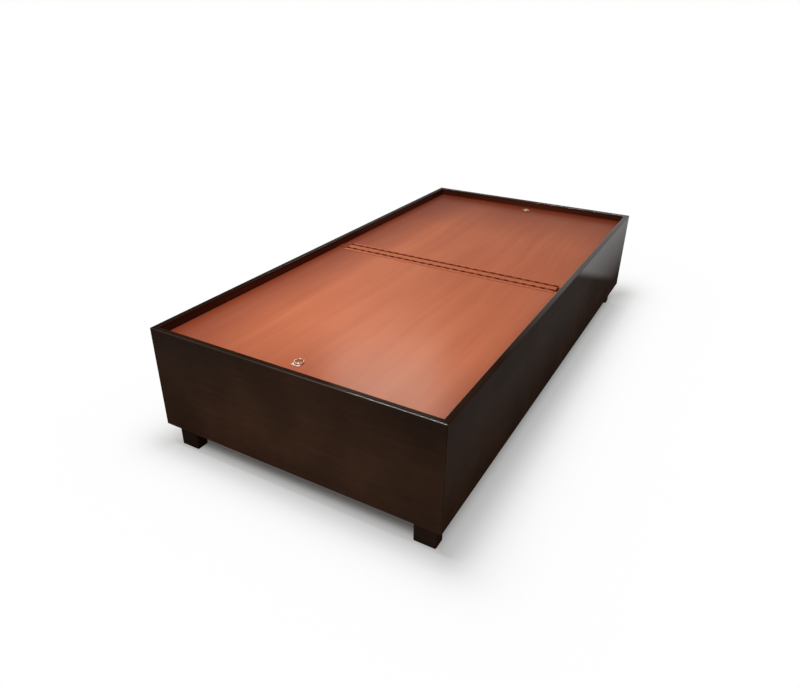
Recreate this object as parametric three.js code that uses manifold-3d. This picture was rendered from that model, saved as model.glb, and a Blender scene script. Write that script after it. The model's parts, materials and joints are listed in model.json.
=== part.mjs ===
// Storage bed base: a board box on four block legs, with two lids hinged to a strip across the middle.
// Millimetres, Z up. The floor is z = 0, X is the width, the foot end is towards -Y, the head end towards +Y.
import * as THREE from 'three';
import { mergeVertices } from 'three/addons/utils/BufferGeometryUtils.js';
import Module from 'manifold-3d';

const wasm = await Module();
wasm.setup();

// Overall sizes
const WIDTH = 915;
const LENGTH = 1830;
const HEIGHT = 400;

// Room between pieces that rest on each other
const SEAT = 0.3;

// Panels
const PANEL_THICKNESS = 18;
const RIM_RADIUS = 2.5;
const PANEL_FOOT_EASE = 1;
const CORNER_RADIUS = 2.5;
const ROUND_STEPS = 3;
const EASE_STEPS = 2;

// Legs
const LEG_HEIGHT = 80;
const LEG_WIDTH = 65;
const LEG_DEPTH = 40;
const LEG_INSET = 24;
const LEG_EASE = 2;

// Inner frame
const POST_SIZE = 45;
const LEDGER_SIZE = 25;
const PARTITION_THICKNESS = 18;
const BEARER_WIDTH = 45;
const FLOOR_RISE = 25;
const FLOOR_THICKNESS = 9;
const FLOOR_PLAY = 1;
const GROOVE_DEPTH = 6;

// Lids and the strip between them
const LID_RECESS = 25;
const LID_THICKNESS = 18;
const LID_SIDE_PLAY = 2;
const LID_END_PLAY = 3;
const LID_EASE = 1.5;
const STRIP_END_GAP = 22;

// Continuous hinges, their middle set off towards +X
const HINGE_SPACING = 38;
const HINGE_OFFSET = 8;
const SEAM_WIDTH = 2;
const LEAF_THICKNESS = 1.1;
const LEAF_MEETING_GAP = 0.5;
const BARREL_RADIUS = 2.6;
const BARREL_SIDES = 8;
const KNUCKLE_PITCH = 16;
const KNUCKLE_GAP = 0.4;
const NOTCH_CLEARANCE = 1;
const PIN_RADIUS = 1.1;
const PIN_CLEARANCE = 0.35;
const PIN_SIDES = 6;
const HINGE_SCREWS = 4;
const HINGE_SCREW_MARGIN = 32;

// Ring pulls
const PULL_END_DISTANCE = 77;
const FOOT_PULL_OFFSET = 11;
const HEAD_PULL_OFFSET = 17;
const PLATE_WIDTH = 26;
const PLATE_DEPTH = 18;
const PLATE_THICKNESS = 1.5;
const PLATE_CORNER = 5;
const EYE_WIRE_RADIUS = 1.25;
const EYE_WIRE_SIDES = 6;
const EYE_STEPS = 14;
const RING_RADIUS = 12.5;
const RING_WIRE_RADIUS = 1.5;
const RING_CLEARANCE = 0.3;
const RING_WIRE_SIDES = 8;
const RING_STEPS = 24;
const PULL_SCREW_SPREAD = 17;

// Screws: head and shank radius, depth of the head, whole length, and how deep the head is sunk
const HINGE_SCREW = {
  head: 2.9, shank: 1.5, depth: LEAF_THICKNESS + SEAT, length: 15, recess: 0, sides: 6,
};
const PULL_SCREW = {
  head: 2.4, shank: 1.2, depth: PLATE_THICKNESS + SEAT, length: 12, recess: 0, sides: 8,
};
const LEG_SCREW = { head: 7, shank: 4, depth: 4, length: 90, recess: 30, sides: 12 };
const SCREW_CLEARANCE = 0.2;
const SCREW_TIP = 3;
const HOLE_OVERRUN = 1;

// Levels and faces that follow from the sizes above
const innerX = WIDTH / 2 - PANEL_THICKNESS;
const innerY = LENGTH / 2 - PANEL_THICKNESS;
const panelHeight = HEIGHT - LEG_HEIGHT;
const lidTop = HEIGHT - LID_RECESS;
const lidUnder = lidTop - LID_THICKNESS;
const ledgerTop = lidUnder - SEAT;
const postCentreX = innerX - SEAT - POST_SIZE / 2;
const postCentreY = innerY - SEAT - POST_SIZE / 2;
const postFaceX = postCentreX - POST_SIZE / 2 - SEAT;
const postFaceY = postCentreY - POST_SIZE / 2 - SEAT;
const cleatCentreY = PARTITION_THICKNESS / 2 + SEAT + LEDGER_SIZE / 2;
const cleatFaceY = cleatCentreY + LEDGER_SIZE / 2 + SEAT;
const floorUnder = LEG_HEIGHT + FLOOR_RISE + SEAT;
const floorTop = floorUnder + FLOOR_THICKNESS;

// The strip's ends and the hinge's axis, counted from the middle of the bed and from the floor
const barrelFlat = BARREL_RADIUS * Math.cos(Math.PI / BARREL_SIDES);
const hingeY = HINGE_SPACING / 2;
const hingeZ = lidTop + SEAT + barrelFlat;
const leafWidth = hingeY - LEAF_MEETING_GAP / 2;
const notchDepth = BARREL_RADIUS + NOTCH_CLEARANCE;
const stripStart = -(innerX - SEAT);
const stripEnd = innerX - STRIP_END_GAP;
const hingeReach = Math.min(HINGE_OFFSET - stripStart, stripEnd - HINGE_OFFSET);
const knuckleCount = 2 * Math.floor((2 * hingeReach / KNUCKLE_PITCH - 1) / 2) + 1;
const hingeLength = knuckleCount * KNUCKLE_PITCH;
const leafScrewY = (notchDepth + leafWidth) / 2;

// The eye of a pull, counted from the middle of the bed and from the floor
const pullY = LENGTH / 2 - PULL_END_DISTANCE;
const plateTop = lidTop + SEAT + PLATE_THICKNESS;
const eyeRise = RING_CLEARANCE + RING_WIRE_RADIUS;

// Finishes
const finishes = {
  darkLacquer: { color: 0x2b1a12, roughness: 0.28, metalness: 0 },
  lidLacquer: { color: 0xb4643f, roughness: 0.42, metalness: 0 },
  hingeLacquer: { color: 0xa9603f, roughness: 0.4, metalness: 0.1 },
  softwood: { color: 0xc9a67a, roughness: 0.75, metalness: 0 },
  plywood: { color: 0xb98d62, roughness: 0.7, metalness: 0 },
  steel: { color: 0x9a9c9e, roughness: 0.35, metalness: 1 },
  plating: { color: 0xe2d9c8, roughness: 0.2, metalness: 1 },
};

const DOWN = new THREE.Vector3(0, 0, -1);
const UP = new THREE.Vector3(0, 0, 1);

// An extrusion along Z turned to run along X, with its outline's x along Y and its y along Z
const alongX = new THREE.Matrix4().makeBasis(
  new THREE.Vector3(0, 1, 0),
  new THREE.Vector3(0, 0, 1),
  new THREE.Vector3(1, 0, 0),
);

// A closed manifold solid from a geometry, moved by a matrix
function solidOf(geometry, matrix = new THREE.Matrix4()) {
  const bare = (geometry.index ? geometry.toNonIndexed() : geometry.clone()).applyMatrix4(matrix);
  bare.deleteAttribute('normal');
  bare.deleteAttribute('uv');
  const merged = mergeVertices(bare, 1e-4);
  const index = Array.from(merged.index.array);
  const kept = [];
  for (let i = 0; i < index.length; i += 3) {
    const [a, b, c] = index.slice(i, i + 3);
    if (a !== b && b !== c && c !== a) {
      kept.push(a, b, c);
    }
  }
  const vertProperties = new Float32Array(merged.attributes.position.array);
  return new wasm.Manifold(new wasm.Mesh({ numProp: 3, vertProperties, triVerts: new Uint32Array(kept) }));
}

function geometryOf(solid) {
  const mesh = solid.getMesh();
  const geometry = new THREE.BufferGeometry();
  geometry.setAttribute('position', new THREE.BufferAttribute(new Float32Array(mesh.vertProperties), 3));
  geometry.setIndex(new THREE.BufferAttribute(new Uint32Array(mesh.triVerts), 1));
  geometry.computeVertexNormals();
  return geometry;
}

function joined(solids) {
  return solids.reduce((whole, solid) => whole.add(solid));
}

function makeMesh(name, geometry, finish) {
  const mesh = new THREE.Mesh(geometry, new THREE.MeshStandardMaterial(finishes[finish]));
  mesh.name = name;
  return mesh;
}

function placed(mesh, x, y, z, turn = 0) {
  mesh.position.set(x, y, z);
  mesh.rotation.z = turn;
  return mesh;
}

// Places on a line through 0, the outer two at the given distance
function evenly(count, reach) {
  return Array.from({ length: count }, (_, i) => (count === 1 ? 0 : reach * (2 * i / (count - 1) - 1)));
}

function roundedRectangle(width, depth, radius) {
  const x = width / 2;
  const y = depth / 2;
  const shape = new THREE.Shape();
  shape.absarc(x - radius, -y + radius, radius, -Math.PI / 2, 0);
  shape.absarc(x - radius, y - radius, radius, 0, Math.PI / 2);
  shape.absarc(-x + radius, y - radius, radius, Math.PI / 2, Math.PI);
  shape.absarc(-x + radius, -y + radius, radius, Math.PI, 1.5 * Math.PI);
  shape.closePath();
  return shape;
}

// A board with all its edges eased, centred in X and Y, with its underside at z = 0
function easedBoard(width, depth, thickness, ease, steps) {
  const inner = roundedRectangle(width - 2 * ease, depth - 2 * ease, ease);
  const geometry = new THREE.ExtrudeGeometry(inner, {
    depth: thickness - 2 * ease,
    bevelThickness: ease,
    bevelSize: ease,
    bevelSegments: steps,
    curveSegments: steps,
  });
  return geometry.translate(0, 0, ease);
}

// A panel with a rounded rim, a groove for the bottom board and mitred ends
// X runs along it, Y from its outer face inwards, Z up from its foot
function panelGeometry(length) {
  const grooveFloor = PANEL_THICKNESS - GROOVE_DEPTH;
  const grooveTop = FLOOR_RISE + FLOOR_THICKNESS + 2 * SEAT;
  const section = new THREE.Shape();
  section.moveTo(PANEL_FOOT_EASE, 0);
  section.lineTo(PANEL_THICKNESS - PANEL_FOOT_EASE, 0);
  section.lineTo(PANEL_THICKNESS, PANEL_FOOT_EASE);
  section.lineTo(PANEL_THICKNESS, FLOOR_RISE);
  section.lineTo(grooveFloor, FLOOR_RISE);
  section.lineTo(grooveFloor, grooveTop);
  section.lineTo(PANEL_THICKNESS, grooveTop);
  section.absarc(PANEL_THICKNESS - RIM_RADIUS, panelHeight - RIM_RADIUS, RIM_RADIUS, 0, Math.PI / 2);
  section.absarc(RIM_RADIUS, panelHeight - RIM_RADIUS, RIM_RADIUS, Math.PI / 2, Math.PI);
  section.lineTo(0, PANEL_FOOT_EASE);
  section.closePath();
  const geometry = new THREE.ExtrudeGeometry(section, {
    depth: length,
    bevelEnabled: false,
    curveSegments: ROUND_STEPS,
  });
  geometry.translate(0, 0, -length / 2).applyMatrix4(alongX);
  const points = geometry.attributes.position;
  for (let i = 0; i < points.count; i += 1) {
    const cutBack = points.getY(i) + SEAT / Math.SQRT2;
    points.setX(i, points.getX(i) - Math.sign(points.getX(i)) * cutBack);
  }
  return geometry;
}

function addPanels(bed) {
  const outline = roundedRectangle(WIDTH, LENGTH, CORNER_RADIUS);
  const envelope = new THREE.ExtrudeGeometry(outline, {
    depth: HEIGHT + LEG_HEIGHT,
    bevelEnabled: false,
    curveSegments: ROUND_STEPS,
  });
  const panels = [
    ['end_panel_foot', WIDTH, 0, -LENGTH / 2, 0],
    ['end_panel_head', WIDTH, 0, LENGTH / 2, Math.PI],
    ['side_panel_left', LENGTH, -WIDTH / 2, 0, -Math.PI / 2],
    ['side_panel_right', LENGTH, WIDTH / 2, 0, Math.PI / 2],
  ];
  for (const [name, length, x, y, turn] of panels) {
    const panel = placed(makeMesh(name, panelGeometry(length), 'darkLacquer'), x, y, LEG_HEIGHT, turn);
    panel.updateMatrix();
    const rounding = solidOf(envelope, panel.matrix.clone().invert());
    panel.geometry = geometryOf(solidOf(panel.geometry).intersect(rounding));
    bed.add(panel);
  }
}

// The bottom board, held in the panels' grooves, with its corners cut out round the posts
function addFloor(bed) {
  const reach = GROOVE_DEPTH - FLOOR_PLAY;
  const x = innerX + reach;
  const y = innerY + reach;
  const cutX = postFaceX - FLOOR_PLAY;
  const cutY = postFaceY - FLOOR_PLAY;
  const corner = [[x, cutY], [cutX, cutY], [cutX, y]];
  const outline = new THREE.Shape([
    ...corner.map(([px, py]) => new THREE.Vector2(px, py)),
    ...corner.toReversed().map(([px, py]) => new THREE.Vector2(-px, py)),
    ...corner.map(([px, py]) => new THREE.Vector2(-px, -py)),
    ...corner.toReversed().map(([px, py]) => new THREE.Vector2(px, -py)),
  ]);
  const board = new THREE.ExtrudeGeometry(outline, { depth: FLOOR_THICKNESS, bevelEnabled: false });
  bed.add(placed(makeMesh('bottom_board', board, 'plywood'), 0, 0, floorUnder));
}

// The bearer under the bottom board, the partition on the board, and the strip that the hinges are screwed to
function addMiddle(bed) {
  const width = 2 * (innerX - SEAT);
  const beam = new THREE.BoxGeometry(width, BEARER_WIDTH, FLOOR_RISE);
  const bearer = placed(makeMesh('centre_bearer', beam, 'softwood'), 0, 0, LEG_HEIGHT + FLOOR_RISE / 2);
  const foot = floorTop + SEAT;
  const upright = new THREE.BoxGeometry(width, PARTITION_THICKNESS, ledgerTop - foot);
  const partition = placed(makeMesh('centre_partition', upright, 'plywood'), 0, 0, (ledgerTop + foot) / 2);
  const bar = new THREE.BoxGeometry(stripEnd - stripStart, HINGE_SPACING - SEAM_WIDTH, LID_THICKNESS);
  const strip = makeMesh('centre_strip', bar, 'lidLacquer');
  placed(strip, (stripEnd + stripStart) / 2, 0, lidUnder + LID_THICKNESS / 2);
  bed.add(bearer, partition, strip);
  return strip;
}

// A countersunk screw with the top of its head at z = 0, pointing down
function screwGeometry(kind) {
  const profile = [
    new THREE.Vector2(0, -kind.length),
    new THREE.Vector2(kind.shank, -kind.length + SCREW_TIP),
    new THREE.Vector2(kind.shank, -kind.depth),
    new THREE.Vector2(kind.head, 0),
    new THREE.Vector2(0, 0),
  ];
  return new THREE.LatheGeometry(profile, kind.sides).rotateX(Math.PI / 2);
}

// The hole for such a screw, open from the top of the head outwards
function holeGeometry(kind) {
  const shank = kind.shank + SCREW_CLEARANCE;
  const mouth = kind.head + SCREW_CLEARANCE;
  const profile = [
    new THREE.Vector2(0, -kind.length - SCREW_CLEARANCE),
    new THREE.Vector2(shank, -kind.length + SCREW_TIP - SCREW_CLEARANCE),
    new THREE.Vector2(shank, -kind.depth - SCREW_CLEARANCE),
    new THREE.Vector2(mouth, 0),
    new THREE.Vector2(mouth, kind.recess + HOLE_OVERRUN),
    new THREE.Vector2(0, kind.recess + HOLE_OVERRUN),
  ];
  return new THREE.LatheGeometry(profile, kind.sides).rotateX(Math.PI / 2);
}

// Where a screw stands: the point under the middle of its head's top, and the way that it points
function screwPlace(x, y, z, way) {
  const turn = new THREE.Quaternion().setFromUnitVectors(new THREE.Vector3(0, 0, -1), way);
  return new THREE.Matrix4().compose(new THREE.Vector3(x, y, z), turn, new THREE.Vector3(1, 1, 1));
}

// The screws that hold one piece, numbered from 1; the places are in the frame of their group
function addScrews(group, name, kind, places, finish) {
  return places.map((place, i) => {
    const screw = makeMesh(`${name}_${i + 1}`, screwGeometry(kind), finish);
    place.decompose(screw.position, screw.quaternion, screw.scale);
    screw.userData.kind = kind;
    group.add(screw);
    return screw;
  });
}

// Drills a piece for the screws that pass into it; all of them already stand in the scene
function drill(piece, screws) {
  const toPiece = piece.matrixWorld.clone().invert();
  const body = screws.reduce((solid, screw) => {
    const hole = solidOf(holeGeometry(screw.userData.kind), toPiece.clone().multiply(screw.matrixWorld));
    return solid.subtract(hole);
  }, solidOf(piece.geometry));
  piece.geometry = geometryOf(body);
}

// A prism along X with a flat side below, centred
function prismAlongX(radius, sides, length) {
  const prism = new THREE.CylinderGeometry(radius, radius, length, sides);
  return prism.rotateY(Math.PI / sides).rotateZ(Math.PI / 2);
}

// The knuckles of one leaf: every second place along the hinge, from the first place given
function knucklePlaces(first) {
  const places = [];
  for (let i = first; i < knuckleCount; i += 2) {
    places.push((i + 0.5) * KNUCKLE_PITCH - hingeLength / 2);
  }
  return places;
}

// A leaf's flat plate with a tongue to each of its knuckles and a notch for each of the other leaf's
function leafPlate(first) {
  const half = (hingeLength - KNUCKLE_GAP) / 2;
  const tongue = (KNUCKLE_PITCH - KNUCKLE_GAP) / 2;
  const outline = new THREE.Shape();
  outline.moveTo(half, -leafWidth);
  outline.lineTo(half, -notchDepth);
  for (const x of knucklePlaces(first).reverse()) {
    const right = Math.min(x + tongue, half);
    if (right < half) {
      outline.lineTo(right, -notchDepth);
    }
    outline.lineTo(right, 0);
    outline.lineTo(x - tongue, 0);
    outline.lineTo(x - tongue, -notchDepth);
  }
  outline.lineTo(-half, -notchDepth);
  outline.lineTo(-half, -leafWidth);
  outline.closePath();
  const plate = new THREE.ExtrudeGeometry(outline, { depth: LEAF_THICKNESS, bevelEnabled: false });
  return plate.translate(0, 0, -barrelFlat);
}

// A leaf with its knuckles: the axis is X through the origin, the plate lies towards -Y at the barrel's foot
function leafGeometry(first) {
  const knuckle = prismAlongX(BARREL_RADIUS, BARREL_SIDES, KNUCKLE_PITCH - KNUCKLE_GAP);
  const knuckles = knucklePlaces(first).map((x) => (
    solidOf(knuckle, new THREE.Matrix4().makeTranslation(x, 0, 0))
  ));
  const bore = prismAlongX(PIN_RADIUS + PIN_CLEARANCE, PIN_SIDES, hingeLength + KNUCKLE_PITCH);
  const leaf = joined([solidOf(leafPlate(first)), ...knuckles]).subtract(solidOf(bore));
  return geometryOf(leaf);
}

function leafScrewPlaces(side) {
  const reach = hingeLength / 2 - HINGE_SCREW_MARGIN;
  const z = -barrelFlat + LEAF_THICKNESS;
  return evenly(HINGE_SCREWS, reach).map((x) => screwPlace(x, side * leafScrewY, z, DOWN));
}

// The hinge of one half: its group stands on the axis, with the lid towards -Y
function addHinge(half, end, hingeX) {
  const hinge = new THREE.Group();
  hinge.position.set(hingeX, -hingeY, hingeZ);
  half.add(hinge);
  const lidLeaf = makeMesh(`hinge_lid_leaf_${end}`, leafGeometry(1), 'hingeLacquer');
  const fixedLeaf = makeMesh(`hinge_fixed_leaf_${end}`, leafGeometry(0), 'hingeLacquer');
  fixedLeaf.rotation.z = Math.PI;
  const pinLength = hingeLength - KNUCKLE_GAP;
  const pin = makeMesh(`hinge_pin_${end}`, prismAlongX(PIN_RADIUS, PIN_SIDES, pinLength), 'steel');
  const [lidScrews, fixedScrews] = [['lid', -1], ['fixed', 1]].map(([leaf, side]) => (
    addScrews(hinge, `hinge_${leaf}_screw_${end}`, HINGE_SCREW, leafScrewPlaces(side), 'hingeLacquer')
  ));
  hinge.add(lidLeaf, fixedLeaf, pin);
  return { lidLeaf, fixedLeaf, lidScrews, fixedScrews };
}

function addLid(half, end) {
  const inner = hingeY + SEAM_WIDTH / 2;
  const outer = innerY - LID_END_PLAY;
  const width = 2 * (innerX - LID_SIDE_PLAY);
  const board = easedBoard(width, outer - inner, LID_THICKNESS, LID_EASE, EASE_STEPS);
  const lid = placed(makeMesh(`${end}_lid`, board, 'lidLacquer'), 0, -(inner + outer) / 2, lidUnder);
  half.add(lid);
  return lid;
}

// The line of the eye's wire: up from the plate, over the ring in a half circle, and down again
class EyeLine extends THREE.Curve {
  getPoint(t, target = new THREE.Vector3()) {
    const reach = eyeRise + EYE_WIRE_RADIUS;
    const straight = eyeRise + PLATE_THICKNESS / 2;
    const arc = Math.PI * reach;
    const along = t * (2 * straight + arc);
    if (along < straight) {
      return target.set(0, -reach, along - PLATE_THICKNESS / 2);
    }
    if (along > straight + arc) {
      return target.set(0, reach, 2 * straight + arc - along - PLATE_THICKNESS / 2);
    }
    const angle = Math.PI - (along - straight) / reach;
    return target.set(0, reach * Math.cos(angle), eyeRise + reach * Math.sin(angle));
  }
}

// The eye: a staple of round wire over the ring, its feet run into the plate
function eyeGeometry() {
  const corners = Array.from({ length: EYE_WIRE_SIDES }, (_, i) => {
    const angle = 2 * Math.PI * i / EYE_WIRE_SIDES;
    return new THREE.Vector2(EYE_WIRE_RADIUS * Math.cos(angle), EYE_WIRE_RADIUS * Math.sin(angle));
  });
  const section = new THREE.Shape(corners);
  return new THREE.ExtrudeGeometry(section, { steps: EYE_STEPS, extrudePath: new EyeLine() });
}

// The plate and its eye, with the plate's top at z = 0
function pullPlateGeometry() {
  const outline = roundedRectangle(PLATE_WIDTH, PLATE_DEPTH, PLATE_CORNER);
  const plate = new THREE.ExtrudeGeometry(outline, {
    depth: PLATE_THICKNESS,
    bevelEnabled: false,
    curveSegments: ROUND_STEPS,
  });
  plate.translate(0, 0, -PLATE_THICKNESS);
  return geometryOf(solidOf(plate).add(solidOf(eyeGeometry())));
}

function addPull(half, end, pullX) {
  const pull = new THREE.Group();
  pull.position.set(pullX, -pullY, plateTop);
  half.add(pull);
  const plate = makeMesh(`pull_plate_${end}`, pullPlateGeometry(), 'plating');
  const ring = new THREE.TorusGeometry(RING_RADIUS, RING_WIRE_RADIUS, RING_WIRE_SIDES, RING_STEPS);
  const ringMesh = placed(makeMesh(`pull_ring_${end}`, ring, 'plating'), 0, RING_RADIUS, eyeRise);
  const places = [-1, 1].map((sign) => screwPlace(sign * PULL_SCREW_SPREAD / 2, 0, 0, DOWN));
  const screws = addScrews(pull, `pull_screw_${end}`, PULL_SCREW, places, 'plating');
  pull.add(plate, ringMesh);
  return { plate, screws };
}

// The ledgers under one lid's edges: two along the sides, one across the end, one on the partition
function addLedgers(half, end, sides) {
  const sideLength = postFaceY - cleatFaceY;
  const sideX = innerX - SEAT - LEDGER_SIZE / 2;
  const sideY = -(postFaceY + cleatFaceY) / 2;
  const endY = -(innerY - SEAT - LEDGER_SIZE / 2);
  const places = [
    [sides[0], sideLength, -sideX, sideY, Math.PI / 2],
    [sides[1], sideLength, sideX, sideY, Math.PI / 2],
    ['end', 2 * postFaceX, 0, endY, 0],
    ['middle', 2 * (innerX - SEAT), 0, -cleatCentreY, 0],
  ];
  for (const [where, length, x, y, turn] of places) {
    const bar = new THREE.BoxGeometry(length, LEDGER_SIZE, LEDGER_SIZE);
    const mesh = makeMesh(`ledger_${end}_${where}`, bar, 'softwood');
    half.add(placed(mesh, x, y, ledgerTop - LEDGER_SIZE / 2, turn));
  }
}

// The posts and legs of one half, with the screw that goes up through each leg into its post
function addCorners(half, end, sides) {
  const postHeight = ledgerTop - LEG_HEIGHT;
  const legX = WIDTH / 2 - LEG_INSET - LEG_WIDTH / 2;
  const legY = LENGTH / 2 - LEG_INSET - LEG_DEPTH / 2;
  const screwX = (postCentreX - POST_SIZE / 2 + WIDTH / 2 - LEG_INSET) / 2;
  const screwY = (postCentreY - POST_SIZE / 2 + LENGTH / 2 - LEG_INSET) / 2;
  return sides.map((side, i) => {
    const sign = 2 * i - 1;
    const block = new THREE.BoxGeometry(POST_SIZE, POST_SIZE, postHeight);
    const post = makeMesh(`corner_post_${end}_${side}`, block, 'softwood');
    placed(post, sign * postCentreX, -postCentreY, LEG_HEIGHT + postHeight / 2);
    const foot = easedBoard(LEG_WIDTH, LEG_DEPTH, LEG_HEIGHT - SEAT, LEG_EASE, EASE_STEPS);
    const leg = placed(makeMesh(`leg_${end}_${side}`, foot, 'darkLacquer'), sign * legX, -legY, 0);
    half.add(post, leg);
    const places = [screwPlace(sign * screwX, -screwY, LEG_SCREW.recess, UP)];
    const screws = addScrews(half, `leg_screw_${end}_${side}`, LEG_SCREW, places, 'steel');
    return { post, leg, screws };
  });
}

// Everything that one half holds; the half's own frame has the middle of the bed at Y = 0
function addHalf(bed, { end, turn, sides, hingeX, pullX }) {
  const half = new THREE.Group();
  half.rotation.z = turn;
  bed.add(half);
  addLedgers(half, end, sides);
  const corners = addCorners(half, end, sides);
  const lid = addLid(half, end);
  const hinge = addHinge(half, end, hingeX);
  const pull = addPull(half, end, pullX);
  return { corners, lid, hinge, pull };
}

// Drills what the screws of one half pass through, once everything stands in its place
function drillHalf({ corners, lid, hinge, pull }, strip) {
  for (const { post, leg, screws } of corners) {
    drill(post, screws);
    drill(leg, screws);
  }
  drill(hinge.lidLeaf, hinge.lidScrews);
  drill(hinge.fixedLeaf, hinge.fixedScrews);
  drill(strip, hinge.fixedScrews);
  drill(pull.plate, pull.screws);
  drill(lid, [...hinge.lidScrews, ...pull.screws]);
}

function buildBed() {
  const bed = new THREE.Group();
  addPanels(bed);
  addFloor(bed);
  const strip = addMiddle(bed);
  const halves = [
    { end: 'foot', turn: 0, sides: ['left', 'right'], hingeX: HINGE_OFFSET, pullX: -FOOT_PULL_OFFSET },
    { end: 'head', turn: Math.PI, sides: ['right', 'left'], hingeX: -HINGE_OFFSET, pullX: -HEAD_PULL_OFFSET },
  ].map((half) => addHalf(bed, half));
  bed.updateMatrixWorld(true);
  for (const half of halves) {
    drillHalf(half, strip);
  }
  return bed;
}

export default buildBed();
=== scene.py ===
"""A storage bed base: a lacquered board box on four block legs, with two lids that lift from the middle.

Metres, +Z up. The foot end is towards -Y, and the head end is the foot end turned half round.
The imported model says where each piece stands. This script makes the panels, hinges and pulls finer, and
gives every piece its finish.
"""
import json
import math

import bmesh
import bpy
from mathutils import Matrix, Vector


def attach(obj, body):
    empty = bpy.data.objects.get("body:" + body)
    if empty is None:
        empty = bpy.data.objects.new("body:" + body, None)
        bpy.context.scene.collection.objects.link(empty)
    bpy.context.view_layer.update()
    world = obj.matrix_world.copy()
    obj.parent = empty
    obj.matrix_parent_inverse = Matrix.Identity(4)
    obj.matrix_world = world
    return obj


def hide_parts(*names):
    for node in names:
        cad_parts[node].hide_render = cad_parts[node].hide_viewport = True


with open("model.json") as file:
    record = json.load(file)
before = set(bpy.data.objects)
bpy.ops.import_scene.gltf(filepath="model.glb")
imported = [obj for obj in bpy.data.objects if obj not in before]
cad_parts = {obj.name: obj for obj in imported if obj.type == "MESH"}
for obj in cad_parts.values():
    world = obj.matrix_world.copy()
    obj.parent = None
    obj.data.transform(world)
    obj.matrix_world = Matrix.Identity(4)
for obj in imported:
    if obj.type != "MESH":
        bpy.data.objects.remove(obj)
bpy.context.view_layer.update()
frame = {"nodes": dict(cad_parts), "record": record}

MM = 0.001
ENDS = {"foot": Matrix.Identity(4), "head": Matrix.Rotation(math.pi, 4, "Z")}

# Sizes shared with the solids, in millimetres
WIDTH = 915
LENGTH = 1830
HEIGHT = 400
LEG_HEIGHT = 80
SEAT = 0.3
PANEL_THICKNESS = 18
RIM_RADIUS = 2.5
CORNER_RADIUS = 2.5
FLOOR_RISE = 25
FLOOR_THICKNESS = 9
GROOVE_DEPTH = 6
PANEL_EASE = 1
INNER_X = WIDTH / 2 - PANEL_THICKNESS
INNER_Y = LENGTH / 2 - PANEL_THICKNESS
LID_TOP = 375
LID_UNDER = 357
HINGE_Y = 19
HINGE_OFFSET = 8
BARREL_RADIUS = 2.6
LEAF_THICKNESS = 1.1
LEAF_WIDTH = 18.75
NOTCH_DEPTH = 3.6
KNUCKLE_PITCH = 16
KNUCKLE_GAP = 0.4
KNUCKLES = 51
HINGE_LENGTH = KNUCKLES * KNUCKLE_PITCH
PIN_RADIUS = 1.1
HINGE_SCREW_INSET = 32
PULL_Y = 838
PULL_X = {"foot": -11, "head": -17}
PLATE_LENGTH = 26
PLATE_WIDTH = 18
PLATE_CORNER = 5
PLATE_THICKNESS = 1.5
PLATE_TOP = LID_TOP + SEAT + PLATE_THICKNESS
EYE_RISE = 1.8
EYE_WIRE_RADIUS = 1.25
RING_RADIUS = 12.5
RING_WIRE_RADIUS = 1.5
PULL_SCREW_X = 8.5
SCREW_TIP = 3

# The solids' barrels have eight sides, and these round ones have the radius of their flats
BARREL_FLAT = BARREL_RADIUS * math.cos(math.pi / 8)

# Details that only this script shows: millimetres, counts, and in degrees where a tongue's curl ends
LEAF_EASE = 0.25
PLATE_EASE = 0.5
SCREW_LIFT = 0.01
HINGE_SCREWS = 16
SCREW_SIDES = 20
PIN_SIDES = 16
WIRE_SIDES = 12
RING_STEPS = 48
CURL_END = 212

# Screws as the solids have them, in millimetres, and how high their raised heads stand
HINGE_SCREW = {"head": 2.9, "shank": 1.5, "depth": LEAF_THICKNESS + SEAT, "length": 15, "rise": 0.6}
PULL_SCREW = {"head": 2.4, "shank": 1.2, "depth": PLATE_THICKNESS + SEAT, "length": 12, "rise": 0.24}

# Edges that turn less than this many degrees are shaded round
ROUND_BELOW = 35

# How much of the clear coat shows on upright faces and on the flat top of the rim, and how much more where
# it is made stronger to paint in a reflection
COAT_ON_FACES = 0.055
COAT_ON_TOP = 0.013
REFLECTION_COAT_ON_TOP = 0.45
REFLECTION_COAT_ON_RIGHT = 0.34

# A painted reflection: the right face's coat is stronger above a line that falls towards the head end: its
# fall for each metre, and the two heights of the line at the bed's middle, in millimetres, between which the
# stronger coat comes in
REFLECTION_LINE_FALL = 0.379
REFLECTION_LINE_HEIGHTS = (425, 465)

# Where painted shade darkens the lids: along which axis, from where to where in millimetres, and by how much
PAINTED_SHADE_ON_LIDS = [
    ("X", 360, 440, 0.33), ("X", -220, -440, 0.87), ("Y", 420, 897, 0.75), ("Y", 750, 900, 0.75),
    ("Y", -600, -897, 0.45),
]

# The painted shade's outline on the floor is the bed's, drawn in at the foot and out at the head, in
# millimetres
SHADE_SHORT_AT_FOOT = 20
SHADE_PAST_HEAD = 70

# How many times as fast as past the sides the shade fades past the foot, and past the head
FADE_PAST_FOOT = 1.3
FADE_PAST_HEAD = 0.65

# How white the floor looks, by how many millimetres past the shade's outline a point lies
STUDIO_WHITENESS = [
    (-60, 0.06), (-43, 0.14), (-29, 0.275), (-17, 0.37), (-5, 0.43), (12, 0.47), (25, 0.52), (52, 0.64),
    (90, 0.805), (115, 0.87), (145, 0.925), (180, 0.96), (225, 0.982), (300, 0.989), (640, 1.0),
]

# How far the studio floor reaches each way, in metres
STUDIO_REACH = 60.0

# Light that the surrounding gives
WORLD_LIGHT = 0.25

# Lamps: metres, watts and the colour of the light
LAMPS = {
    "strip_lamp": {
        "place": (-0.4, -1.35, 2.3), "target": (-0.25, -0.5, 0.4),
        "width": 0.9, "depth": 0.2, "power": 31.0, "colour": "#ffffff",
    },
    "window_lamp": {
        "place": (-2.6, 4.0, 4.1), "target": (0.3, -0.75, 0.4),
        "width": 1.4, "depth": 1.2, "power": 94.0, "colour": "#fff4e4",
    },
}

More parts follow.
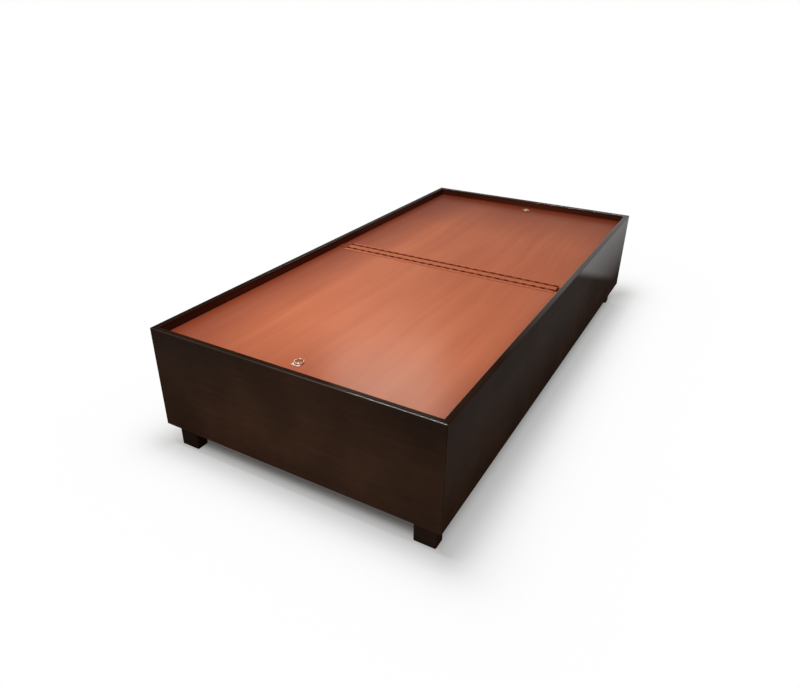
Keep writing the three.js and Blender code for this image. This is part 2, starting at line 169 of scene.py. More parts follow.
# The photograph's camera, from a fit of the bed's corners to it: metres and radians, but lens and sensor
# in millimetres
CAMERA_PLACE = (0.91434, -1.95446, 1.19494)
CAMERA_YAW = -0.5072
CAMERA_PITCH = 0.4865
CAMERA_ROLL = 0.0146
CAMERA_LENS = 28.675
CAMERA_SENSOR = 36.0
CAMERA_REACH = 200.0


# Finishes

def srgb(colour):
    """A colour written as #rrggbb, in the linear values that shaders take."""
    parts = [int(colour[i:i + 2], 16) / 255 for i in (1, 3, 5)]
    return [p / 12.92 if p <= 0.04045 else ((p + 0.055) / 1.055) ** 2.4 for p in parts] + [1.0]


def per_metre(size):
    """The scale of a pattern whose marks are that many millimetres across."""
    return 1000 / size


def add_node(tree, kind, inputs=None, stops=None, **settings):
    """Adds a node with its settings; an input takes a value, a socket, or a node by its first output."""
    made = tree.nodes.new(kind)
    for name, value in settings.items():
        setattr(made, name, value)
    for key, value in (inputs or {}).items():
        source = value.outputs[0] if isinstance(value, bpy.types.Node) else value
        if isinstance(source, bpy.types.NodeSocket):
            tree.links.new(source, made.inputs[key])
        else:
            made.inputs[key].default_value = source
    if stops:
        ramp = made.color_ramp.elements
        while len(ramp) < len(stops):
            ramp.new(1.0)
        for element, (place, colour) in zip(ramp, stops):
            element.position = place
            element.color = srgb(colour) if isinstance(colour, str) else (colour, colour, colour, 1)
    return made


def new_finish(name):
    """An empty material, its node tree, and the piece's own coordinates."""
    finish = bpy.data.materials.new(name)
    finish.use_nodes = True
    tree = finish.node_tree
    tree.nodes.clear()
    return finish, tree, add_node(tree, "ShaderNodeTexCoord").outputs["Object"]


def spray_ripple(tree, place, strength):
    """The faint ripple that a spray gun leaves, about 4 mm across."""
    ripple = add_node(tree, "ShaderNodeTexNoise", {
        "Vector": place, "Scale": per_metre(4.1667), "Detail": 1.0,
    })
    return add_node(tree, "ShaderNodeBump", {
        "Strength": strength, "Distance": 0.4 * MM, "Height": ripple.outputs["Fac"],
    })


def veneer_stain(tree, place, patches):
    """Dark stain that took unevenly, in patches, over grain lines that run level along each board."""
    # Real lines are too fine to show here, so these are 9 mm apart with finer ones in them
    drawn = add_node(tree, "ShaderNodeMapping", {
        "Vector": place, "Scale": (per_metre(333.33), per_metre(333.33), per_metre(9.0909)),
    })
    grain = add_node(tree, "ShaderNodeTexNoise", {
        "Vector": drawn, "Scale": 1.0, "Detail": 6.0, "Roughness": 0.62, "Distortion": 0.4,
    })
    blend = add_node(tree, "ShaderNodeMix", {
        0: 0.32, 6: patches.outputs["Color"], 7: grain.outputs["Color"],
    }, data_type="RGBA")
    return add_node(tree, "ShaderNodeValToRGB", {"Fac": blend.outputs[2]}, stops=[
        (0.33, "#2e1d11"), (0.5, "#3e2718"), (0.68, "#503322"),
    ])


def painted_shade_on_boards(tree, at, facing):
    """Darkens the stain with painted shade: on the rim's top, the legs under the box, the boards' upper
    part, and towards the left.
    """
    painted_shade_on_top = add_node(tree, "ShaderNodeMapRange", {
        "Value": facing.outputs["Z"], "From Min": 0.3, "From Max": 0.9, "To Min": 0.0, "To Max": 0.6,
    })
    upwards = add_node(tree, "ShaderNodeMapRange", {
        "Value": at.outputs["Z"], "From Min": 0.0, "From Max": HEIGHT * MM,
    })
    # Painted shade by height: on the legs and the boards' upper part
    level = add_node(tree, "ShaderNodeValToRGB", {"Fac": upwards}, stops=[
        (0.0, 0.4), ((LEG_HEIGHT - 2) / HEIGHT, 0.4), ((LEG_HEIGHT + 2) / HEIGHT, 0.1),
        (0.4, 0.0), (0.6, 0.0), (1.0, 0.4),
    ])
    # Painted shade towards the left end
    painted_shade_leftwards = add_node(tree, "ShaderNodeMapRange", {
        "Value": at.outputs["X"], "From Min": -50 * MM, "From Max": -460 * MM,
        "To Min": 0.0, "To Max": 0.35,
    })
    uneven = add_node(tree, "ShaderNodeMath", {0: level, 1: painted_shade_leftwards}, operation="ADD")
    return add_node(tree, "ShaderNodeMath", {0: painted_shade_on_top, 1: uneven}, operation="MAXIMUM")


def painted_lid_reflection(tree, place):
    """A painted reflection of the orange lids on the panels' inner faces: above the lids, least in the
    corners.
    """
    away = add_node(tree, "ShaderNodeVectorMath", {0: place}, operation="ABSOLUTE")
    past = add_node(tree, "ShaderNodeVectorMath", {
        0: away, 1: (INNER_X * MM, INNER_Y * MM, 0.0),
    }, operation="SUBTRACT")
    sides = add_node(tree, "ShaderNodeSeparateXYZ", {"Vector": past})
    outside = add_node(tree, "ShaderNodeMath", {
        0: sides.outputs["X"], 1: sides.outputs["Y"],
    }, operation="MAXIMUM")
    from_corner = add_node(tree, "ShaderNodeMath", {
        0: sides.outputs["X"], 1: sides.outputs["Y"],
    }, operation="MINIMUM")
    between_corners = add_node(tree, "ShaderNodeMapRange", {
        "Value": from_corner, "From Min": -350 * MM, "From Max": -100 * MM, "To Min": 0.72, "To Max": 0.4,
    })
    on_inner_face = add_node(tree, "ShaderNodeMapRange", {
        "Value": outside, "From Min": 0.0, "From Max": 1.2 * MM, "To Min": between_corners, "To Max": 0.0,
    })
    upwards = add_node(tree, "ShaderNodeMapRange", {
        "Value": sides.outputs["Z"], "From Min": LID_UNDER * MM, "From Max": HEIGHT * MM,
    })
    above_lids = add_node(tree, "ShaderNodeValToRGB", {"Fac": upwards}, stops=[
        (0.0, 0.0), (0.4, 0.9), (0.72, 0.9), (1.0, 0.3),
    ])
    return add_node(tree, "ShaderNodeMath", {0: on_inner_face, 1: above_lids}, operation="MULTIPLY")


def reflection_coat_on_rim_top(tree, at):
    """The clear coat on the rim's flat top, made stronger towards the head end and most of all on the right
    as a painted reflection.
    """
    headwards = add_node(tree, "ShaderNodeMapRange", {
        "Value": at.outputs["Y"], "From Min": -600 * MM, "From Max": 0.0,
        "To Min": 0.0, "To Max": REFLECTION_COAT_ON_TOP,
    })
    rightwards = add_node(tree, "ShaderNodeMapRange", {
        "Value": at.outputs["X"], "From Min": 300 * MM, "From Max": 440 * MM,
        "To Min": 0.38, "To Max": 1.0,
    })
    return add_node(tree, "ShaderNodeMath", {
        0: headwards, 1: rightwards, 2: COAT_ON_TOP,
    }, operation="MULTIPLY_ADD")


def reflection_coat_on_faces(tree, at, facing):
    """The clear coat on upright faces, placed for painted reflections: weaker low down and at the head end,
    stronger high on the right.
    """
    slanting = add_node(tree, "ShaderNodeMath", {
        0: at.outputs["Y"], 1: REFLECTION_LINE_FALL, 2: at.outputs["Z"],
    }, operation="MULTIPLY_ADD")
    first, last = REFLECTION_LINE_HEIGHTS
    # Painted reflection: stronger coat above the slanting line
    above_line = add_node(tree, "ShaderNodeMapRange", {
        "Value": slanting, "From Min": first * MM, "From Max": last * MM,
        "To Min": 0.0, "To Max": REFLECTION_COAT_ON_RIGHT,
    }, interpolation_type="SMOOTHSTEP")
    high = add_node(tree, "ShaderNodeMapRange", {
        "Value": at.outputs["Z"], "From Min": 130 * MM, "From Max": 380 * MM,
    })
    faces_right = add_node(tree, "ShaderNodeMapRange", {
        "Value": facing.outputs["X"], "From Min": 0.3, "From Max": 0.8,
    })
    high_on_right = add_node(tree, "ShaderNodeMath", {0: high, 1: faces_right}, operation="MULTIPLY")
    headwards = add_node(tree, "ShaderNodeMapRange", {
        "Value": at.outputs["Y"], "From Min": 100 * MM, "From Max": 600 * MM,
        "To Min": COAT_ON_FACES, "To Max": 0.4 * COAT_ON_FACES,
    })
    # Painted shade: weaker coat low down, so less reflection shows there
    upwards = add_node(tree, "ShaderNodeMapRange", {
        "Value": at.outputs["Z"], "From Min": 100 * MM, "From Max": 300 * MM,
        "To Min": 0.3 * COAT_ON_FACES, "To Max": headwards,
    })
    return add_node(tree, "ShaderNodeMath", {
        0: above_line, 1: high_on_right, 2: upwards,
    }, operation="MULTIPLY_ADD")


def glint_and_reflection_coat(tree, at, facing):
    """How much clear coat shows: most on rounded edges that face the foot or the left, as a painted glint,
    little elsewhere.
    """
    thin = add_node(tree, "ShaderNodeMapRange", {
        "Value": facing.outputs["Z"], "From Min": 0.12, "From Max": 0.998,
        "To Min": reflection_coat_on_faces(tree, at, facing), "To Max": reflection_coat_on_rim_top(tree, at),
    })
    rounded = add_node(tree, "ShaderNodeValToRGB", {"Fac": facing.outputs["Z"]}, stops=[
        (0.0, COAT_ON_FACES), (0.12, COAT_ON_FACES), (0.3, 1.0), (0.985, 1.0), (0.998, COAT_ON_TOP),
    ])
    turned = add_node(tree, "ShaderNodeMath", {
        0: facing.outputs["X"], 1: facing.outputs["Y"],
    }, operation="MINIMUM")
    # Painted glint: full coat only on rounded edges turned to the foot or the left, less towards the left
    # end
    painted_glint_edges = add_node(tree, "ShaderNodeMapRange", {
        "Value": turned, "From Min": -0.06, "From Max": -0.14,
    })
    rightwards = add_node(tree, "ShaderNodeMapRange", {
        "Value": at.outputs["X"], "From Min": -150 * MM, "From Max": 200 * MM,
        "To Min": 0.3, "To Max": 1.0,
    })
    glint_coat = add_node(tree, "ShaderNodeMath", {0: painted_glint_edges, 1: rightwards}, operation="MULTIPLY")
    return add_node(tree, "ShaderNodeMix", {0: glint_coat, 2: thin, 3: rounded})


def dark_lacquered_board():
    """Veneered board, stained dark and sprayed with clear polyurethane: the grain barely shows through."""
    finish, tree, place = new_finish("dark_lacquered_board")
    at = add_node(tree, "ShaderNodeSeparateXYZ", {"Vector": place})
    facing = add_node(tree, "ShaderNodeSeparateXYZ", {
        "Vector": add_node(tree, "ShaderNodeTexCoord").outputs["Normal"],
    })
    # The patches of the stain, which the gloss follows too
    patches = add_node(tree, "ShaderNodeTexNoise", {
        "Vector": place, "Scale": per_metre(200), "Detail": 3.0, "Roughness": 0.55,
    })
    # Painted shade darkens the stain towards near-black
    stained = add_node(tree, "ShaderNodeMix", {
        0: painted_shade_on_boards(tree, at, facing), 6: veneer_stain(tree, place, patches), 7: srgb("#130d09"),
    }, data_type="RGBA")
    # A painted reflection of the lids' orange on the inner faces
    colour = add_node(tree, "ShaderNodeMix", {
        0: painted_lid_reflection(tree, place), 6: stained.outputs[2], 7: srgb("#6b3020"),
    }, data_type="RGBA")
    gloss = add_node(tree, "ShaderNodeMapRange", {
        "Value": patches.outputs["Fac"], "From Min": 0.3, "From Max": 0.7, "To Min": 0.24, "To Max": 0.34,
    })
    surface = add_node(tree, "ShaderNodeBsdfPrincipled", {
        "Base Color": colour.outputs[2], "Roughness": gloss, "Normal": spray_ripple(tree, place, 0.03),
        "IOR": 1.5, "Specular IOR Level": 0.0,
        "Coat Weight": glint_and_reflection_coat(tree, at, facing), "Coat Roughness": 0.09, "Coat IOR": 1.6,
    })
    add_node(tree, "ShaderNodeOutputMaterial", {"Surface": surface})
    return finish


def orange_lacquered_board():
    """Board sprayed with orange-brown tinted lacquer: long soft grain streaks, painted shade at the edges.
    """
    finish, tree, place = new_finish("orange_lacquered_board")
    # Grain along the bed that wanders sideways: clouds 200 mm wide, and streaks 45 mm wide and finer
    wander = add_node(tree, "ShaderNodeTexNoise", {
        "Vector": place, "Scale": per_metre(625), "Detail": 1.0,
    })
    shift = add_node(tree, "ShaderNodeVectorMath", {
        0: wander.outputs["Color"], 1: (100 * MM, 0.0, 0.0),
    }, operation="MULTIPLY")
    shifted = add_node(tree, "ShaderNodeVectorMath", {0: place, 1: shift}, operation="ADD")
    narrow = add_node(tree, "ShaderNodeMapping", {
        "Vector": shifted, "Scale": (per_metre(45.4545), per_metre(1111.1), per_metre(45.4545)),
    })
    streaks = add_node(tree, "ShaderNodeTexNoise", {
        "Vector": narrow, "Scale": 1.0, "Detail": 5.0, "Roughness": 0.6,
    })
    broad = add_node(tree, "ShaderNodeMapping", {
        "Vector": shifted, "Scale": (per_metre(200), per_metre(714.29), per_metre(200)),
    })
    clouds = add_node(tree, "ShaderNodeTexNoise", {
        "Vector": broad, "Scale": 1.0, "Detail": 3.0, "Roughness": 0.5,
    })
    blend = add_node(tree, "ShaderNodeMix", {
        0: 0.5, 6: clouds.outputs["Color"], 7: streaks.outputs["Color"],
    }, data_type="RGBA")
    tint = add_node(tree, "ShaderNodeValToRGB", {"Fac": blend.outputs[2]}, stops=[
        (0.34, "#b8613f"), (0.5, "#c66e4a"), (0.66, "#d17a55"),
    ])
    # Painted shade towards the panels: most along the left side, and widely at the head end
    at = add_node(tree, "ShaderNodeSeparateXYZ", {"Vector": place})
    light = 1.0
    for axis, start, end, most in PAINTED_SHADE_ON_LIDS:
        kept = add_node(tree, "ShaderNodeMapRange", {
            "Value": at.outputs[axis], "From Min": start * MM, "From Max": end * MM,
            "To Min": 1.0, "To Max": 1.0 - most,
        })
        light = add_node(tree, "ShaderNodeMath", {0: light, 1: kept}, operation="MULTIPLY")
    shaded = add_node(tree, "ShaderNodeMix", {0: light, 6: srgb("#7c3320"), 7: tint}, data_type="RGBA")
    # Under the lids the plywood is bare
    below = add_node(tree, "ShaderNodeMapRange", {
        "Value": at.outputs["Z"], "From Min": (LID_UNDER + 0.2) * MM, "From Max": (LID_UNDER + 1.2) * MM,
        "To Min": 1.0, "To Max": 0.0,
    })
    bare = add_node(tree, "ShaderNodeValToRGB", {"Fac": streaks.outputs["Fac"]}, stops=[
        (0.3, "#b08a5f"), (0.5, "#c9a678"), (0.7, "#d9bb8f"),
    ])
    colour = add_node(tree, "ShaderNodeMix", {0: below, 6: shaded.outputs[2], 7: bare}, data_type="RGBA")
    gloss = add_node(tree, "ShaderNodeMapRange", {
        "Value": clouds.outputs["Fac"], "From Min": 0.3, "From Max": 0.7, "To Min": 0.4, "To Max": 0.5,
    })
    surface = add_node(tree, "ShaderNodeBsdfPrincipled", {
        "Base Color": colour.outputs[2], "Roughness": gloss, "Normal": spray_ripple(tree, place, 0.05),
        "IOR": 1.5, "Specular IOR Level": 0.0,
        "Coat Weight": 0.17, "Coat Roughness": 0.22, "Coat IOR": 1.5,
    })
    add_node(tree, "ShaderNodeOutputMaterial", {"Surface": surface})
    return finish


def sanded_plywood(axis):
    """Sanded plywood of the bottom and the partition: warm tan face veneer."""
    return bare_wood(f"sanded_plywood_{axis}", ("#a27c52", "#bd9768", "#cfad80"), axis, 21.739, 500, 0.66)


def planed_softwood(axis):
    """Planed pine battens and posts: straight yellow grain, matt."""
    return bare_wood(f"planed_softwood_{axis}", ("#b98f57", "#d2ab70", "#e0c08a"), axis, 11.111, 250, 0.7)


def bare_wood(name, colours, axis, width, length, roughness):
    """Bare wood in three tones; its streaks run along an axis, with a width and a length in millimetres."""
    finish, tree, place = new_finish(name)
    drawn = add_node(tree, "ShaderNodeMapping", {
        "Vector": place, "Scale": [per_metre(length if letter == axis else width) for letter in "xyz"],
    })
    grain = add_node(tree, "ShaderNodeTexNoise", {
        "Vector": drawn, "Scale": 1.0, "Detail": 6.0, "Roughness": 0.6, "Distortion": 0.8,
    })
    tone = add_node(tree, "ShaderNodeValToRGB", {"Fac": grain.outputs["Fac"]}, stops=[
        (0.3, colours[0]), (0.5, colours[1]), (0.7, colours[2]),
    ])
    bump = add_node(tree, "ShaderNodeBump", {
        "Strength": 0.15, "Distance": 0.3 * MM, "Height": grain.outputs["Fac"],
    })
    surface = add_node(tree, "ShaderNodeBsdfPrincipled", {
        "Base Color": tone, "Roughness": roughness, "Normal": bump,
    })
    add_node(tree, "ShaderNodeOutputMaterial", {"Surface": surface})
    return finish


def lacquered_hinge_steel(name, knuckle_shade):
    """Rolled steel sprayed over with the lids; knuckle_shade is the dark tone painted over the knuckles as
    shade.
    """
    finish, tree, place = new_finish(name)
    cover = add_node(tree, "ShaderNodeTexNoise", {
        "Vector": place, "Scale": per_metre(11.111), "Detail": 3.0,
    })
    tint = add_node(tree, "ShaderNodeValToRGB", {"Fac": cover.outputs["Fac"]}, stops=[
        (0.35, "#bd6643"), (0.5, "#c46c48"), (0.65, "#ca724d"),
    ])
    # How far a point lies from the axis of its hinge, seen from above
    at = add_node(tree, "ShaderNodeSeparateXYZ", {"Vector": place})
    from_middle = add_node(tree, "ShaderNodeMath", {0: at.outputs["Y"]}, operation="ABSOLUTE")
    beside = add_node(tree, "ShaderNodeMath", {0: from_middle, 1: HINGE_Y * MM}, operation="SUBTRACT")
    from_axis = add_node(tree, "ShaderNodeMath", {0: beside}, operation="ABSOLUTE")
    # Painted shade over the barrels, fading out by the notches
    knuckle_shade_mask = add_node(tree, "ShaderNodeMapRange", {
        "Value": from_axis, "From Min": (BARREL_RADIUS - 0.1) * MM, "From Max": NOTCH_DEPTH * MM,
        "To Min": 1.0, "To Max": 0.0,
    })
    colour = add_node(tree, "ShaderNodeMix", {0: knuckle_shade_mask, 6: tint, 7: srgb(knuckle_shade)}, data_type="RGBA")
    bump = add_node(tree, "ShaderNodeBump", {
        "Strength": 0.12, "Distance": 0.2 * MM, "Height": cover.outputs["Fac"],
    })
    surface = add_node(tree, "ShaderNodeBsdfPrincipled", {
        "Base Color": colour.outputs[2], "Roughness": 0.45, "Normal": bump,
        "Specular IOR Level": 0.0, "Coat Weight": 0.16, "Coat Roughness": 0.35,
    })
    add_node(tree, "ShaderNodeOutputMaterial", {"Surface": surface})
    return finish


def metal(name, colours, roughness, size):
    """A bare metal in two tones; its marks are that many millimetres across."""
    finish, tree, place = new_finish(name)
    marks = add_node(tree, "ShaderNodeTexNoise", {
        "Vector": place, "Scale": per_metre(size), "Detail": 4.0,
    })
    tone = add_node(tree, "ShaderNodeValToRGB", {"Fac": marks.outputs["Fac"]}, stops=[
        (0.35, colours[0]), (0.65, colours[1]),
    ])
    gloss = add_node(tree, "ShaderNodeMapRange", {
        "Value": marks.outputs["Fac"], "From Min": 0.3, "From Max": 0.7,
        "To Min": roughness[0], "To Max": roughness[1],
    })
    surface = add_node(tree, "ShaderNodeBsdfPrincipled", {
        "Base Color": tone, "Metallic": 1.0, "Roughness": gloss,
    })
    add_node(tree, "ShaderNodeOutputMaterial", {"Surface": surface})
    return finish


FINISHES = {
    "dark_lacquer": dark_lacquered_board(),
    "lid_lacquer": orange_lacquered_board(),
    "hinge_lacquer": lacquered_hinge_steel("lacquered_lid_leaf", "#a04e30"),
    # Zinc-plated screws: grey, slightly mottled
    "steel": metal("zinc_plated_steel", ("#8f9294", "#a9acae"), (0.3, 0.42), 1.42857),
    # Nickel over brass: warm pale grey, rubbed dull by fingers
    "plating": metal("nickel_plated_brass", ("#bba391", "#d6bfaa"), (0.28, 0.4), 2.38095),
}

# Bare wood, whose grain runs along each board's longest side
BARE_WOODS = {
    "softwood": {axis: planed_softwood(axis) for axis in "xyz"},
    "plywood": {axis: sanded_plywood(axis) for axis in "xy"},
}

# The same finishes, varied: the fixed leaves get darker painted shade at their knuckles, the rings are
# handled most
FIXED_LEAF_FINISH = lacquered_hinge_steel("lacquered_fixed_leaf", "#5c2313")
RING_FINISH = metal("worn_nickel_ring", ("#8f7a68", "#af9a88"), (0.18, 0.3), 2.38095)


# Making pieces

def add_piece(name, slot, body, nodes, shape, place, finish=None):
    """Adds a piece from vertices in millimetres and faces; it rides on a body and stands for nodes."""
    vertices, faces = shape
    mesh = bpy.data.meshes.new(name)
    mesh.from_pydata([Vector(v) * MM for v in vertices], [], faces)
    mesh.transform(place)
    cleaner = bmesh.new()
    cleaner.from_mesh(mesh)
    bmesh.ops.remove_doubles(cleaner, verts=cleaner.verts, dist=1e-6)
    bmesh.ops.recalc_face_normals(cleaner, faces=cleaner.faces)
    cleaner.to_mesh(mesh)
    cleaner.free()
    mesh.shade_smooth()
    mesh.set_sharp_from_angle(angle=math.radians(ROUND_BELOW))
    mesh.materials.append(finish or FINISHES[slot])
    piece = bpy.data.objects.new(name, mesh)
    bpy.context.scene.collection.objects.link(piece)
    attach(piece, body)
    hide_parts(*nodes)


def arc(centre, radius, start, end, steps):
    """Points round a centre, from one angle to another in degrees."""
    angles = [math.radians(start + (end - start) * i / steps) for i in range(steps + 1)]
    return [(centre[0] + radius * math.cos(a), centre[1] + radius * math.sin(a)) for a in angles]


def skinned(rings, closed=False):
    """A skin over rings of as many points each, capped at both ends or closed from last to first."""
    count = len(rings[0])
    last = (len(rings) - 1) * count
    faces = []
    for i in range(len(rings) if closed else len(rings) - 1):
        a = i * count
        b = (i + 1) % len(rings) * count
        faces += [(a + j, a + (j + 1) % count, b + (j + 1) % count, b + j) for j in range(count)]
    if not closed:
        faces += [tuple(range(count)), tuple(range(last, last + count))]
    return [point for ring in rings for point in ring], faces


def extruded(outline, start, end):
    """An outline of (y, z) points drawn out along X."""
    return skinned([[(x, y, z) for y, z in outline] for x in (start, end)])


def swept(path, radius, sides, closed=False):
    """A round wire along a flat path in space, its sections square to it and not twisted."""
    points = [Vector(p) for p in path]
    across = Vector((0, 0, 1)) if closed else Vector((0, 1, 0))
    angles = [2 * math.pi * j / sides for j in range(sides)]
    rings = []
    for i, point in enumerate(points):
        before = points[i - 1] if closed or i else point
        after = points[(i + 1) % len(points)] if closed or i < len(points) - 1 else point
        along = (after - before).normalized()
        across = (across - across.dot(along) * along).normalized()
        other = along.cross(across)
        rings.append([point + radius * (math.cos(a) * across + math.sin(a) * other) for a in angles])
    return skinned(rings, closed)


def gather(parts):
    """Several (vertices, faces) as one."""
    vertices, faces = [], []
    for part_vertices, part_faces in parts:
        shift = len(vertices)
        vertices += part_vertices
        faces += [tuple(i + shift for i in face) for face in part_faces]
    return vertices, faces


def moved(part, place, turn):
    """A part turned about Z, by an angle in radians, and set down at a place."""
    vertices, faces = part
    shift = Matrix.Translation(place) @ Matrix.Rotation(turn, 4, "Z")
    return [shift @ Vector(v) for v in vertices], faces


def screw_part(head, shank, depth, length, rise):
    """A raised countersunk screw with a cross recess: its head's rim is at z = 0, its top at rise."""
    arm, slot, sink = 0.6 * head, 0.14 * head, 0.85 * rise
    cross = [
        (arm, -slot), (arm, slot), (slot, slot), (slot, arm), (-slot, arm), (-slot, slot),
        (-arm, slot), (-arm, -slot), (-slot, -slot), (-slot, -arm), (slot, -arm), (slot, -slot),
    ]
    maker = bmesh.new()

    def ring(radius, z):
        around = arc((0, 0), radius, 0, 360 * (1 - 1 / SCREW_SIDES), SCREW_SIDES - 1)
        return [maker.verts.new((*point, z)) for point in around]

    rim = ring(head, 0)
    shoulder = ring(0.93 * head, 0.6 * rise)
    top = ring(0.8 * head, rise)
    lip = [maker.verts.new((*point, rise)) for point in cross]
    bed = [maker.verts.new((0.7 * x, 0.7 * y, rise - sink)) for x, y in cross]
    # The head's top lies between its edge and the recess, whose walls slope in to their bed
    edges = [maker.edges.new((loop[i - 1], loop[i])) for loop in (top, lip) for i in range(len(loop))]
    bmesh.ops.triangle_fill(maker, edges=edges, use_beauty=True, use_dissolve=False)
    for face in [f for f in maker.faces if all(v in lip for v in f.verts)]:
        maker.faces.remove(face)
    for i in range(len(cross)):
        maker.faces.new((lip[i - 1], lip[i], bed[i], bed[i - 1]))
    maker.faces.new(bed)
    rings = [top, shoulder, rim, ring(shank, -depth)]
    rings += [ring(shank, SCREW_TIP - length), ring(0.1 * shank, -length)]
    for above, below in zip(rings, rings[1:]):
        for i in range(SCREW_SIDES):
            maker.faces.new((above[i - 1], above[i], below[i], below[i - 1]))
    maker.faces.new(rings[-1])
    maker.verts.index_update()
    part = [tuple(v.co) for v in maker.verts], [tuple(v.index for v in f.verts) for f in maker.faces]
    maker.free()
    return part


# Panels

def panel_part(length):
    """A panel with a finely rounded rim, mitred ends, rounded outer corners and the bottom board's groove.

    X runs along it, Y from its outer face inwards, Z up from its foot.
    """
    height = HEIGHT - LEG_HEIGHT
    inside, top = PANEL_THICKNESS, height - RIM_RADIUS
    groove = PANEL_THICKNESS - GROOVE_DEPTH
    groove_top = FLOOR_RISE + FLOOR_THICKNESS + 2 * SEAT
    # Narrow strips beside the roundings keep the shading of the flat faces flat
    strip = 0.4
    section = [(PANEL_EASE, 0), (inside - PANEL_EASE, 0), (inside, PANEL_EASE), (inside, FLOOR_RISE)]
    section += [(groove, FLOOR_RISE), (groove, groove_top), (inside, groove_top), (inside, top - strip)]
    section += arc((inside - RIM_RADIUS, top), RIM_RADIUS, 0, 90, 6)
    section += [(inside - RIM_RADIUS - strip, height), (RIM_RADIUS + strip, height)]
    section += arc((RIM_RADIUS, top), RIM_RADIUS, 90, 180, 6)
    section += [(0, top - strip), (0, PANEL_EASE)]
    # Sections round the outer corner, from the mitre to the face, then the same at the other end
    turns = [math.radians(45 * i / 4) for i in range(4, -1, -1)]
    stations = [(-1, turn, 0) for turn in turns] + [(-1, 0, strip), (1, 0, strip)]
    stations += [(1, turn, 0) for turn in reversed(turns)]
    rings = []
    for sign, turn, back in stations:
        ring = []
        for depth, z in section:
            radius = max(CORNER_RADIUS - depth, 0)
            along = length / 2 - CORNER_RADIUS - back + radius * math.sin(turn)
            inwards = CORNER_RADIUS - radius * math.cos(turn)
            if depth > CORNER_RADIUS:
                along, inwards = length / 2 - depth, depth
            along = min(along, length / 2 - inwards - SEAT / math.sqrt(2))
            ring.append((sign * along, inwards, z))
        rings.append(ring)
    return skinned(rings)


def add_panels():
    """The four panels of the box, each turned to its side."""
    for name, length, x, y, turn in (
        ("end_panel_foot", WIDTH, 0, -LENGTH / 2, 0), ("end_panel_head", WIDTH, 0, LENGTH / 2, 180),
        ("side_panel_left", LENGTH, -WIDTH / 2, 0, -90), ("side_panel_right", LENGTH, WIDTH / 2, 0, 90),
    ):
        side = Matrix.Translation((x * MM, y * MM, LEG_HEIGHT * MM))
        place = side @ Matrix.Rotation(math.radians(turn), 4, "Z")
        add_piece(f"{name}_board", "dark_lacquer", "base", [name], panel_part(length), place)


# Continuous hinges

def leaf_part(first):
    """A leaf of sheet with a tongue rolled round the pin at every second knuckle, from the first given.

    The axis is X, and the leaf lies towards -Y.
    """
    low = -BARREL_FLAT
    high = low + LEAF_THICKNESS
    half = (HINGE_LENGTH - KNUCKLE_GAP) / 2
    strip = [
        (-LEAF_WIDTH + LEAF_EASE, low), (-NOTCH_DEPTH, low), (-NOTCH_DEPTH, high),
        (-LEAF_WIDTH + LEAF_EASE, high), (-LEAF_WIDTH, high - LEAF_EASE), (-LEAF_WIDTH, low + LEAF_EASE),
    ]
    curl = [(-NOTCH_DEPTH, low)]
    curl += arc((0, 0), BARREL_FLAT, -90, CURL_END, 20)
    curl += arc((0, 0), BARREL_FLAT - LEAF_THICKNESS, CURL_END, -90, 20)
    curl += [(-NOTCH_DEPTH, high)]
    width = (KNUCKLE_PITCH - KNUCKLE_GAP) / 2
    places = [(i + 0.5) * KNUCKLE_PITCH - HINGE_LENGTH / 2 for i in range(first, KNUCKLES, 2)]
    return gather([extruded(strip, -half, half)] + [extruded(curl, x - width, x + width) for x in places])


def hinge_screws(side):
    """The screws of one leaf, about 50 mm apart, each with its recess turned as it was driven home."""
    screw = screw_part(**HINGE_SCREW)
    reach = HINGE_LENGTH / 2 - HINGE_SCREW_INSET
    y = side * (NOTCH_DEPTH + LEAF_WIDTH) / 2
    z = -BARREL_FLAT + LEAF_THICKNESS
    # Every fifth one stands where the solids have theirs
    places = [reach * (2 * i / (HINGE_SCREWS - 1) - 1) for i in range(HINGE_SCREWS)]
    return gather([moved(screw, (x, y, z), 1.9 * i) for i, x in enumerate(places)])


def add_hinge(end):
    """One hinge: both leaves, the pin and the screws, lacquered over."""
    offset = HINGE_OFFSET if end == "foot" else -HINGE_OFFSET
    axis = (offset * MM, -HINGE_Y * MM, (LID_TOP + SEAT + BARREL_FLAT) * MM)
    place = ENDS[end] @ Matrix.Translation(axis)
    turned = place @ Matrix.Rotation(math.pi, 4, "Z")
    lid = f"{end}_lid"
    add_piece(f"lid_leaf_{end}", "hinge_lacquer", lid, [f"hinge_lid_leaf_{end}"], leaf_part(1), place)
    add_piece(f"fixed_leaf_{end}", "hinge_lacquer", "base", [f"hinge_fixed_leaf_{end}"], leaf_part(0),
              turned, finish=FIXED_LEAF_FINISH)
    half = (HINGE_LENGTH - KNUCKLE_GAP) / 2
    path = [(x, 0, 0) for x in (-half, -half + 0.4, half - 0.4, half)]
    add_piece(f"pin_{end}", "steel", "base", [f"hinge_pin_{end}"], swept(path, PIN_RADIUS, PIN_SIDES), place,
              finish=FIXED_LEAF_FINISH)
    for leaf, side, body in (("lid", -1, lid), ("fixed", 1, "base")):
        nodes = [f"hinge_{leaf}_screw_{end}_{i}" for i in (1, 2, 3, 4)]
        add_piece(f"{leaf}_leaf_screws_{end}", "hinge_lacquer", body, nodes, hinge_screws(side), place)


# Ring pulls

